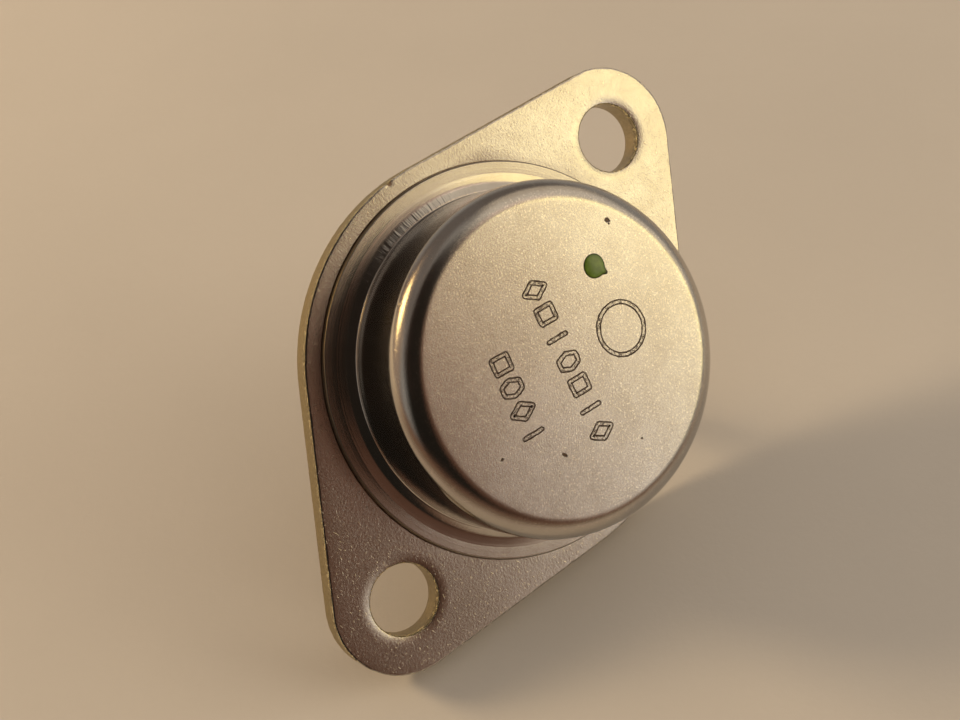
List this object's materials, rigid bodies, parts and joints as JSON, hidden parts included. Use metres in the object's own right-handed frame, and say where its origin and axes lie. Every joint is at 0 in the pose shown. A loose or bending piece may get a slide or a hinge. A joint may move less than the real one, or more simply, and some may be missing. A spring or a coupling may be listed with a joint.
{
  "type": "voltage regulator",
  "caption": "Linear voltage regulator in a welded metal can: diamond flange with screw holes, round cap, and leads in glass seals underneath.",
  "frame": {"origin": "centre of the flange's seating face, on the line between the screw holes", "axes": "+X along the line between the screw holes, +Z out of the seating face towards the cap; the leads hang to -Z, offset towards -X"},
  "size_m": [0.0386, 0.0252, 0.0197],
  "materials": {
    "flange_nickel": "satin nickel plate with fine orange peel and short scratches",
    "cap_nickel": "bright drawn wall, satin top with fine specks and dark ink marks",
    "tinned_lead": "hot-dipped tin, slightly wavy",
    "seal_glass": "dark green fused glass",
    "copper": "dull rolled copper",
    "braze": "silver braze, slightly rippled",
    "solder": "dull soft solder",
    "silicon": "polished silicon with fine metal tracks",
    "aluminium_wire": "bright drawn wire",
    "green_paint": "glossy dab of enamel"
  },
  "bodies": {
    "root": {"flange": "flange_nickel", "cap": "cap_nickel", "input_lead": "tinned_lead", "output_lead": "tinned_lead", "input_seal": "seal_glass", "output_seal": "seal_glass", "heat_spreader": "copper", "spreader_braze": "braze", "chip_solder": "solder", "regulator_chip": "silicon", "input_wire_near": "aluminium_wire", "input_wire_far": "aluminium_wire", "output_wire_near": "aluminium_wire", "output_wire_far": "aluminium_wire", "sense_wire": "aluminium_wire", "ground_wire": "aluminium_wire", "inspection_dot": "green_paint"}
  },
  "joints": []
}
